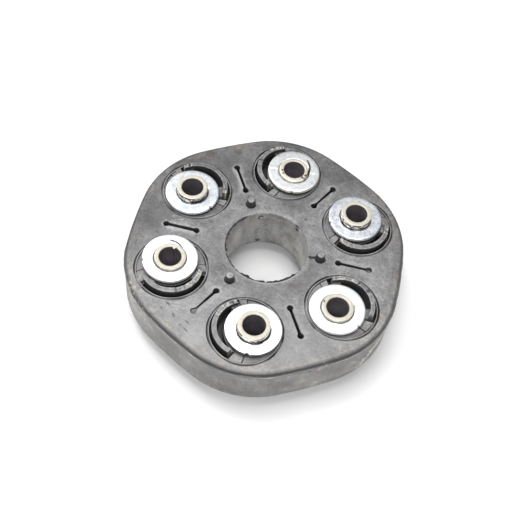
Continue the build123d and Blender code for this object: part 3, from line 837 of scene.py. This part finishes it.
def build_washer(number, side, materials):
    """Pressed washer: rolled upper rim, sharper lower rim, one notch and two scored lines."""
    face, lip, edge = range(3)
    notch_at = bush_angle(number) + WASHER_NOTCH_TURNS[number - 1]
    rim, low, high = WASHER_RADIUS, WASHER_SEAT, WASHER_TOP
    # The lip slot takes a darker copy of the zinc, painted shade on the collar by the sleeve; the fifth
    # washer's edge slot takes one too
    profile = [(SLEEVE_RADIUS, low, face), (12.0, low, face), (rim - 0.25, low, edge),
               (rim - 0.06, low + 0.06, edge), (rim, low + 0.25, edge), (rim, low + 0.8, edge),
               (rim - 0.1, low + 0.95, edge), (rim - 0.02, low + 1.1, edge), (rim, high - 0.5, edge),
               (rim - 0.09, high - 0.2, face), (rim - 0.28, high - 0.05, face), (rim - 0.6, high, face),
               (rim - 1.6, high, face), (13.0, high, face), (11.6, high, face), (10.2, high, face),
               (9.4, high - 0.02, lip), (9.1, high - 0.2, lip), (SLEEVE_RADIUS, high - 0.5, lip)]
    seed = number * 7 + (0 if side > 0 else 3)

    def warp(turns, radius, height, index):
        chord = np.radians(turned(turns, notch_at)) * rim
        limit = rim - 0.75 * np.sqrt(np.clip(WASHER_NOTCH_RADIUS**2 - chord**2, 0, None))
        radius = np.where(radius > rim - 1.1, np.minimum(radius, limit - (rim - radius)), radius)
        if index in range(3, 11):
            radius = radius + 0.025 * noise(turns * 0.09, index * 0.2, seed)
        radius = np.minimum(radius, rim)
        if index in range(10, 16):
            height = height - 0.06 + 0.03 * noise(turns * 0.06, radius * 0.6, seed + 1)
        if index in range(11, 16):
            for about in (90.0, -90.0):
                line = turned(turns, notch_at + about)
                score = 0.03 * bell(line, 0.6) - 0.04 * bell(np.abs(line) - 1.5, 0.7)
                height = height + score * np.clip(0.9 + noise(radius * 0.7, about, seed + 2), 0.2, 1.4)
        return radius, height

    extra = [notch_at + offset for offset in (-3.6, -3.2, -2.6, -1.8, -0.9, 0, 0.9, 1.8, 2.6, 3.2, 3.6)]
    extra += [notch_at + about + offset for about in (90, -90)
              for offset in (-3.2, -2.4, -1.7, -1, -0.5, 0, 0.5, 1, 1.7, 2.4, 3.2)]
    name = f"{'upper' if side > 0 else 'lower'}_washer_skin_{number}"
    return ring_piece(name, number, profile, warp, materials, side, 35.0, extra)


def build_sleeve(number, materials):
    """Turned sleeve: flat end rings, chamfered bore and a burnished outer wall."""
    face, burnished, bore, worn_edge = range(4)
    upper_end, lower_end = (TALL_END, SHORT_END) if number % 2 else (SHORT_END, TALL_END)
    inner, outer = BOLT_HOLE_RADIUS, SLEEVE_RADIUS
    worn = SLEEVE_EDGES[number]
    spigot = burnished if number % 2 else worn_edge

    def half(end):
        """Radii and heights from the bore over one end to the washer."""
        return [(inner, end - 0.55), (inner + 0.12, end - 0.3), (inner + 0.42, end - 0.04),
                (inner + 0.7, end), (outer - worn - 0.25, end - 0.01), (outer - worn, end - 0.08),
                (outer - 0.4 * worn, end - 0.6 * worn), (outer - 0.03, end - 0.48), (outer, end - 0.7),
                (outer, (end + WASHER_TOP) / 2 - 0.1), (outer, WASHER_TOP - 0.4)]

    places = half(upper_end) + [(radius, -height) for radius, height in reversed(half(lower_end))]
    kinds = [bore] + [face] * 4 + [worn_edge] * 2 + [spigot] * 3
    kinds += [burnished] * 4 + [worn_edge] * 2 + [face] * 5 + [bore]
    profile = [(*place, kind) for place, kind in zip(places, kinds)]

    def warp(turns, radius, height, index):
        if 0 < index < 4:
            radius = radius + 0.05 * noise(turns * 0.12, index * 0.7, 60 + number)
        if number == 6 and index < 4:
            lump = bell(turned(turns, LUMP_TURN), 7.0, 4) * (1 + 0.3 * noise(turns * 0.3, 2, 71))
            chip = bell(turned(turns, LUMP_TURN - 14.0), 4.0)
            radius = radius - (0.85, 0.8, 0.6, 0.2)[index] * lump + (0.35, 0.35, 0.3, 0.1)[index] * chip
            height = height + (0.1, -0.1, -0.1, 0.0)[index] * lump - (0.6, 0.5, 0.3, 0.0)[index] * chip
        if number == 2 and 2 < index < 9:
            burr = bell(turned(turns, -32.0), 12.0, 4) * unit(0.5 + noise(turns * 0.25, index * 0.8, 72))
            height = height - 0.55 * burr
        if 7 <= index <= 9:
            radius = radius - 0.035 + 0.035 * noise(turns * 0.07, index * 0.9, 80 + number)
        return np.minimum(radius, outer), height

    return ring_piece(f"sleeve_skin_{number}", number, profile, warp, materials, 1, 40.0)


class Graph:
    """One material, with short names for the nodes that make its masks and colours."""

    def __init__(self, name):
        self.material = bpy.data.materials.new(name)
        self.material.use_nodes = True
        self.tree = self.material.node_tree
        self.tree.nodes.clear()
        output = self.tree.nodes.new("ShaderNodeOutputMaterial")
        self.shader = self.tree.nodes.new("ShaderNodeBsdfPrincipled")
        self.tree.links.new(self.shader.outputs["BSDF"], output.inputs["Surface"])
        self.place = self.node("TexCoord", "Object", {})

    def feed(self, socket, value):
        """Links a socket to another node's output, or gives it a plain value."""
        if isinstance(value, bpy.types.NodeSocket):
            self.tree.links.new(value, socket)
        else:
            socket.default_value = (*value, 1.0) if socket.type == "RGBA" else value

    def node(self, kind, output, inputs, **settings):
        node = self.tree.nodes.new(f"ShaderNode{kind}")
        for name, value in settings.items():
            setattr(node, name, value)
        for key, value in inputs.items():
            self.feed(node.inputs[key], value)
        return node.outputs[output]

    def finish(self, colour, roughness, bump=None, metallic=0.0, specular=0.5):
        """Sets the shader. The bump is its height, strength and distance in metres."""
        values = {"Base Color": colour, "Roughness": roughness, "Metallic": metallic,
                  "Specular IOR Level": specular}
        if bump:
            inputs = dict(zip(("Height", "Strength", "Distance"), bump))
            values["Normal"] = self.node("Bump", "Normal", inputs)
        for name, value in values.items():
            self.feed(self.shader.inputs[name], value)
        return self.material

    def axis(self, name):
        return self.node("SeparateXYZ", name, {"Vector": self.place})

    def attribute(self, name):
        return self.node("Attribute", "Fac", {}, attribute_name=name)

    def noise(self, scale, detail=3, roughness=0.6, stretch=None):
        vector = self.place
        if stretch:
            vector = self.node("Mapping", "Vector", {"Vector": vector, "Scale": stretch})
        inputs = {"Vector": vector, "Scale": scale, "Detail": detail, "Roughness": roughness}
        return self.node("TexNoise", "Fac", inputs)

    def ramp(self, value, low, high, start=0.0, end=1.0):
        inputs = {"Value": value, "From Min": low, "From Max": high, "To Min": start, "To Max": end}
        return self.node("MapRange", "Result", inputs, interpolation_type="SMOOTHSTEP")

    def math(self, operation, first, second=0.0):
        return self.node("Math", "Value", {0: first, 1: second}, operation=operation)

    def times(self, first, *others):
        for other in others:
            first = self.math("MULTIPLY", first, other)
        return first

    def mix(self, share, first, second):
        return self.node("Mix", 2, {0: share, 6: first, 7: second}, data_type="RGBA")

    def paint(self, colour, tint, *masks):
        """The colour, tinted where all masks are 1."""
        return self.mix(self.times(*masks), colour, tint)

    def only(self, mask, value):
        """The value where the mask is 1, and 1 elsewhere."""
        return self.mix(mask, WHITE, value)

    def away(self, centre):
        """Distance from a place given in millimetres."""
        centre = tuple(value * MM for value in centre)
        return self.node("VectorMath", "Value", {0: self.place, 1: centre}, operation="DISTANCE")

    def spot(self, centre, radius, ragged=0.35):
        """Mask of a ragged round patch, in millimetres."""
        edge = self.times(self.math("SUBTRACT", self.noise(420, 2, 0.55), 0.5), radius * MM * ragged * 4)
        distance = self.math("ADD", self.away(centre), edge)
        return self.ramp(distance, radius * MM * 1.1, radius * MM * 0.55)

    def crescent(self, outer, inner, middle, half_length):
        """Mask of the part of one circle left outside another, near a middle place."""
        masks = [self.ramp(self.away((*middle, WASHER_TOP)), half_length * MM, 0.8 * half_length * MM)]
        for (x, y, radius), soft in ((outer, 0.2 * MM), (inner, -0.2 * MM)):
            masks.append(self.ramp(self.away((x, y, WASHER_TOP)), radius * MM + soft, radius * MM - soft))
        return self.times(*masks)

    def scratch(self, scale, spin):
        """Mask of fine hair lines, kept only in some patches."""
        twisted = self.node("Mapping", "Vector", {"Vector": self.place, "Rotation": (0.3 * spin, 0, spin)})
        drift = self.node("TexNoise", "Color", {"Vector": self.place, "Scale": scale * 0.8})
        small = self.node("VectorMath", "Vector", {0: drift, "Scale": 0.35 / scale}, operation="SCALE")
        warped = self.node("VectorMath", "Vector", {0: twisted, 1: small}, operation="ADD")
        inputs = {"Vector": warped, "Scale": scale}
        cells = self.node("TexVoronoi", "Distance", inputs, feature="DISTANCE_TO_EDGE")
        patches = self.ramp(self.noise(scale * 0.9, 2, 0.5), 0.56, 0.68)
        return self.times(self.ramp(cells, 0.03, 0.006), patches)


def rubber_material():
    """Dark rubber under grey dust. The walls of the disc and its hole are paler and streaked, and the skin's
    first mark brings painted shade and painted highlights.
    """
    graph = Graph("dusty_rubber")
    x, y = graph.axis("X"), graph.axis("Y")
    around = graph.math("SQRT", graph.math("ADD", graph.math("POWER", x, 2), graph.math("POWER", y, 2)))
    in_hole = graph.ramp(around, (HOLE_RADIUS + 0.35) * MM, (HOLE_RADIUS + 0.1) * MM)
    on_wall = graph.ramp(around, 0.0712, 0.0722)
    to_side = graph.ramp(graph.math("ABSOLUTE", x), 0.008, 0.023)
    bloom_and_painted_light = graph.attribute("bloom_and_painted_light")
    cloud = graph.noise(38)
    grain = graph.noise(760, 3, 0.65)
    upright = graph.noise(120, 5, 0.75, (1, 1, 0.5))

    # How much dust the rubber carries, together with the painted shade and painted highlights of the skin's
    # first mark
    mottle = graph.times(graph.ramp(graph.noise(150), 0.25, 0.75, 0.8, 1.14),
                         graph.ramp(grain, 0.28, 0.72, 0.7, 1.27))
    streak = graph.times(graph.ramp(upright, 0.3, 0.62, 0.8, 1.15), graph.ramp(to_side, 0, 1, 0.98, 1.35),
                         graph.ramp(x, 0.0098, 0.0108, 1, 1.15), graph.ramp(x, 0.006, 0.019, 0.96, 1.5))
    brushed = graph.times(graph.ramp(graph.noise(420, 4, 0.75, (1, 1, 0.45)), 0.3, 0.7, 0.8, 1.17),
                          graph.ramp(x, 0.03, 0.062, 1, 0.8))
    share = graph.times(bloom_and_painted_light, graph.ramp(cloud, 0.25, 0.75, 0.86, 1.08),
                        graph.only(graph.ramp(y, -0.06, -0.03, 0.45, 1), mottle),
                        # Painted light: lighter towards the front and darker towards the back
                        graph.ramp(y, -0.075, 0.075, 1.08, 0.74),
                        graph.only(in_hole, streak), graph.only(on_wall, brushed))

    # Its colour
    dust = graph.mix(graph.ramp(cloud, 0.3, 0.75), COOL_DUST, WARM_DUST)
    dust = graph.paint(dust, HOLE_DUST, in_hole, graph.ramp(upright, 0.36, 0.62),
                       graph.ramp(to_side, 0, 1, 0.45, 1))
    wall_streaks = graph.ramp(graph.noise(120, 4, 0.7, (1, 1, 1.7)), 0.35, 0.65)
    dust = graph.paint(dust, WALL_BROWN, on_wall, wall_streaks)
    colour = graph.mix(share, RUBBER_BLACK, dust)

    # Scratches, stains, scuffs and smears, with painted shade at the nubs and in the nick beside the hole, and
    # a painted highlight on the nub
    for scale, spin in ((70, 0.4), (110, 1.9)):
        colour = graph.paint(colour, SCRATCH_GREY, graph.scratch(scale, spin), bloom_and_painted_light, 0.42)
    for *centre, radius, strength in STAINS:
        colour = graph.paint(colour, STAIN_BROWN, graph.spot((*centre, HALF_THICKNESS), radius), strength)
    rubbed = graph.times(graph.ramp(bloom_and_painted_light, 0.2, 0.6),
                         graph.ramp(graph.noise(330, 4, 0.75, (1, 3.2, 1)), 0.5, 0.68))
    for *centre, radius, strength in SCUFFS:
        patch = graph.spot((*centre, HALF_THICKNESS), radius, 0.6)
        colour = graph.paint(colour, SCUFF_GREY, patch, rubbed, strength)
    wiped = graph.ramp(graph.noise(240, 4, 0.7, (1, 1, 1.6)), 0.32, 0.74)
    for *centre, radius, strength in WALL_DUST:
        colour = graph.paint(colour, STREAK_CREAM, graph.spot(centre, 1.15 * radius, 0.7), wiped, strength)
    for *centre, radius, strength in WALL_SMEARS_AND_SHADE:
        patch = graph.spot(centre, radius, 0.7 if radius > 3.0 else 0.2)
        colour = graph.paint(colour, SMEAR_AND_SHADE_BLACK, patch, strength)
    # Painted highlight on the nub
    colour = graph.paint(colour, HIGHLIGHT_CREAM, graph.spot(NUB_HIGHLIGHT, 0.85, 0.15))

    # Pale and dark specks, and the flecks along the flash and the bars
    colour = graph.paint(colour, SPECK_GREY, graph.ramp(graph.noise(700, 1, 0.5), 0.73, 0.77), bloom_and_painted_light, 0.4)
    pits = graph.ramp(graph.noise(520, 1, 0.5, (1, 1, 1.3)), 0.25, 0.2)
    colour = graph.paint(colour, PIT_BLACK, pits, bloom_and_painted_light, 0.5)
    crumbs = graph.ramp(graph.noise(1300, 2, 0.5), 0.35, 0.6)
    colour = graph.paint(colour, FLECK_CREAM, graph.attribute("fleck"), crumbs, 0.85)
    relief = graph.math("ADD", graph.times(grain, 0.5), graph.noise(260))
    return graph.finish(colour, graph.ramp(share, 0.1, 0.8, 0.36, 0.52), (relief, 0.8, 0.0003))


def add_marks(graph, colour, marks):
    for *centre, radius in marks:
        colour = graph.paint(colour, MARK_BLACK, graph.spot(centre, radius, 0.3), 0.94)
    return colour


def zinc_material(name, tint, cloudiness, metallic=0.85):
    """Zinc plate with dull clouds, a little grime and the dark marks of the washers, and painted shade in the
    crescents beside the sleeves.
    """
    graph = Graph(name)
    patches = graph.noise(210, 4, 0.65)
    dull = tuple(value * (cloudiness + 0.03 * step) for step, value in enumerate(tint))
    colour = graph.mix(graph.ramp(patches, 0.4, 0.72), tint, dull)
    colour = graph.paint(colour, dull, graph.ramp(graph.noise(620, 3, 0.65), 0.42, 0.7, 0, 0.7))
    colour = graph.paint(colour, GRIME_GREY, graph.ramp(graph.noise(95, 3, 0.7), 0.66, 0.8), 0.3)
    colour = add_marks(graph, colour, WASHER_MARKS)
    # Painted shade in the gap beside the sleeves, broken into patches
    for crescent in WASHER_CRESCENTS:
        patchy_strength = graph.ramp(patches, 0.3, 0.5, 0.8, 0.97)
        colour = graph.paint(colour, MARK_BLACK, graph.crescent(*crescent), patchy_strength)
    relief = graph.math("ADD", graph.times(graph.noise(1500), 0.4), graph.noise(420))
    return graph.finish(colour, graph.ramp(patches, 0.3, 0.75, 0.34, 0.5), (relief, 0.2, 0.0001), metallic)


def sleeve_face_material():
    graph = Graph("warm_sleeve_end")
    colour = graph.mix(graph.ramp(graph.noise(260, 4), 0.3, 0.75), (0.5, 0.47, 0.395), (0.6, 0.57, 0.485))
    colour = add_marks(graph, colour, SLEEVE_MARKS)
    return graph.finish(colour, 0.55, (graph.noise(1200), 0.15, 0.0001), 0.25)


def sleeve_wall_material():
    graph = Graph("burnished_sleeve_wall")
    smear = graph.ramp(graph.noise(150, 4, 0.75, (1, 1, 2.6)), 0.44, 0.56)
    colour = graph.mix(smear, (0.05, 0.045, 0.04), (0.9, 0.86, 0.78))
    return graph.finish(colour, 0.28, (graph.noise(300), 0.35, 0.0003), 0.9)


def bore_material():
    """Dark near both ends and paler at mid depth, where painted light is added."""
    graph = Graph("dark_bore")
    colour = graph.mix(graph.ramp(graph.noise(160, 4), 0.3, 0.75), (0.07, 0.062, 0.07), (0.09, 0.08, 0.09))
    # Painted light that makes the bore paler at mid depth
    deep = graph.ramp(graph.math("ABSOLUTE", graph.axis("Z")), 0.016, 0.002)
    colour = graph.paint(colour, (0.3, 0.275, 0.31), deep)
    return graph.finish(colour, 0.6, (graph.noise(700), 0.2, 0.0002), specular=0.2)


def cord_material():
    graph = Graph("wound_cord")
    strands = graph.noise(260, 3, 0.6, (1, 1, 6))
    colour = graph.mix(graph.ramp(strands, 0.3, 0.7), (0.52, 0.45, 0.32), (0.72, 0.66, 0.52))
    return graph.finish(colour, 0.8, (strands, 0.5, 0.0004))


def add_camera():
    elevation, roll = math.radians(CAMERA_ELEVATION), math.radians(CAMERA_ROLL)
    back = Vector((0.0, -math.cos(elevation), math.sin(elevation)))
    level_right = Vector((1.0, 0.0, 0.0))
    level_up = back.cross(level_right)
    right = math.cos(roll) * level_right + math.sin(roll) * level_up
    up = -math.sin(roll) * level_right + math.cos(roll) * level_up
    eye = -CAMERA_RIGHT * right - CAMERA_UP * up + CAMERA_DISTANCE * back + Vector((0.0, 0.0, HALF_THICKNESS))
    data = bpy.data.cameras.new("camera")
    data.sensor_width = SENSOR_WIDTH
    data.sensor_fit = "HORIZONTAL"
    data.lens = FOCAL_PIXELS / FRAME_PIXELS * SENSOR_WIDTH
    data.clip_start = 0.01
    data.clip_end = 20.0
    camera = new_object("camera", data)
    camera.matrix_world = Matrix.Translation(eye * MM) @ Matrix((right, up, back)).transposed().to_4x4()
    bpy.context.scene.camera = camera


def add_floor():
    mesh = bpy.data.meshes.new("floor")
    corners = [(x * FLOOR_HALF_WIDTH, y * FLOOR_HALF_WIDTH, -TALL_END * MM)
               for x, y in ((-1, -1), (1, -1), (1, 1), (-1, 1))]
    mesh.from_pydata(corners, [], [(0, 1, 2, 3)])
    mesh.materials.append(Graph("pale_floor").finish((0.93, 0.93, 0.93), 0.9, specular=0.1))
    floor = new_object("floor", mesh)


def add_lights():
    for name, (place, width, power) in LIGHTS.items():
        data = bpy.data.lights.new(name, "AREA")
        data.shape = "RECTANGLE"
        data.size = width
        data.size_y = width
        data.energy = power
        light = new_object(name, data)
        light.location = place
        light.rotation_euler = (-Vector(place)).to_track_quat("-Z", "Y").to_euler()
    world = bpy.data.worlds.new("studio")
    bpy.context.scene.world = world
    world.use_nodes = True
    background = world.node_tree.nodes["Background"]
    background.inputs["Color"].default_value = (*WHITE, 1.0)
    background.inputs["Strength"].default_value = WORLD_STRENGTH
    bpy.context.scene.view_settings.view_transform = "Standard"


add_camera()
add_floor()
add_lights()

# Metals of each washer's face and rim, and darker copies of the zinc that are painted shade
zincs = dict.fromkeys(BUSHES, zinc_material("bright_zinc", (0.88, 0.9, 0.92), 0.75))
zincs[1] = zinc_material("mottled_zinc", (0.82, 0.85, 0.88), 0.56)
zincs[2] = zinc_material("streaked_zinc", (0.92, 0.93, 0.93), 0.66)
zincs[3] = zinc_material("cloudy_zinc", (0.89, 0.92, 0.96), 0.46)
# Darker copies of the zinc: painted shade on the collars by the sleeves and on the fifth washer's rim
warm_shaded_zinc = zinc_material("warm_shaded_zinc", (0.5, 0.47, 0.43), 0.6)
shaded_zinc = zinc_material("shaded_zinc", (0.3, 0.3, 0.3), 0.6)
rims = dict.fromkeys(BUSHES, zinc_material("matte_rim", (0.9, 0.9, 0.9), 0.72, 0.1))
rims[2] = zinc_material("cream_rim", (0.9, 0.86, 0.76), 0.72, 0.1)
rims[5] = shaded_zinc
worn_edge = zinc_material("worn_sleeve_edge", (0.82, 0.78, 0.68), 0.6, 0.2)
sleeve_slots = [sleeve_face_material(), sleeve_wall_material(), bore_material(), worn_edge]
cord = cord_material()

# Pieces
skin = build_skin(rubber_material())
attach(skin, "root")
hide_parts("rubber_body")
for number in BUSHES:
    # The collar by the sleeve takes a darker copy of the zinc as painted shade
    lip = warm_shaded_zinc if number == 2 else shaded_zinc
    for side, level in ((1, "upper"), (-1, "lower")):
        washer = build_washer(number, side, [zincs[number], lip, rims[number]])
        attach(washer, "root")
        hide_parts(f"{level}_washer_{number}")
    sleeve = build_sleeve(number, sleeve_slots)
    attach(sleeve, "root")
    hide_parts(f"sleeve_{number}")
for name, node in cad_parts.items():
    if "cord" in name:
        for slot in node.material_slots:
            slot.material = cord
